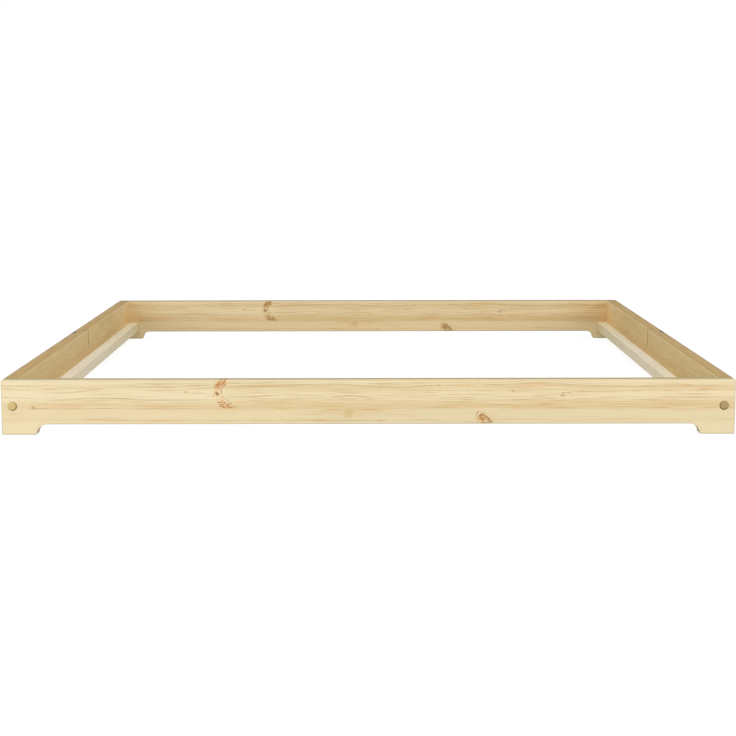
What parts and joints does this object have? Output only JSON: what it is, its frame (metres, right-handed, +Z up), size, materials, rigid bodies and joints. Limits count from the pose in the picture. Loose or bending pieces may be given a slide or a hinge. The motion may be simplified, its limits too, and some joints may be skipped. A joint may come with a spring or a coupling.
{
  "type": "low bed frame",
  "caption": "Low solid pine bed frame: end boards with cut-out feet, side rails bolted between them and ledges inside the rails for a slatted base.",
  "frame": {"origin": "on the floor, under the middle of the frame", "axes": "+X along the end boards to the right, +Y from the front end board to the rear one, +Z up"},
  "size_m": [1.89, 2.0924, 0.142],
  "materials": {
    "end_board_pine": "planed pine, clear matt oil",
    "side_rail_pine": "planed pine, clear matt oil",
    "batten_pine": "planed pine, unfinished",
    "plug_pine": "turned pine, clear matt oil",
    "dowel_beech": "fluted beech, unfinished",
    "zinc_steel": "zinc plated",
    "yellow_zinc_steel": "yellow passivated zinc"
  },
  "bodies": {
    "root": {"front_end_board": "end_board_pine", "rear_end_board": "end_board_pine", "left_side_rail": "side_rail_pine", "right_side_rail": "side_rail_pine", "left_slat_batten": "batten_pine", "right_slat_batten": "batten_pine", "front_left_cover_plug": "plug_pine", "front_left_corner_bolt": "zinc_steel", "front_left_washer": "zinc_steel", "front_left_barrel_nut": "zinc_steel", "front_left_dowels": "dowel_beech", "front_right_cover_plug": "plug_pine", "front_right_corner_bolt": "zinc_steel", "front_right_washer": "zinc_steel", "front_right_barrel_nut": "zinc_steel", "front_right_dowels": "dowel_beech", "rear_left_cover_plug": "plug_pine", "rear_left_corner_bolt": "zinc_steel", "rear_left_washer": "zinc_steel", "rear_left_barrel_nut": "zinc_steel", "rear_left_dowels": "dowel_beech", "rear_right_cover_plug": "plug_pine", "rear_right_corner_bolt": "zinc_steel", "rear_right_washer": "zinc_steel", "rear_right_barrel_nut": "zinc_steel", "rear_right_dowels": "dowel_beech", "left_batten_screws": "yellow_zinc_steel", "right_batten_screws": "yellow_zinc_steel"}
  },
  "joints": []
}
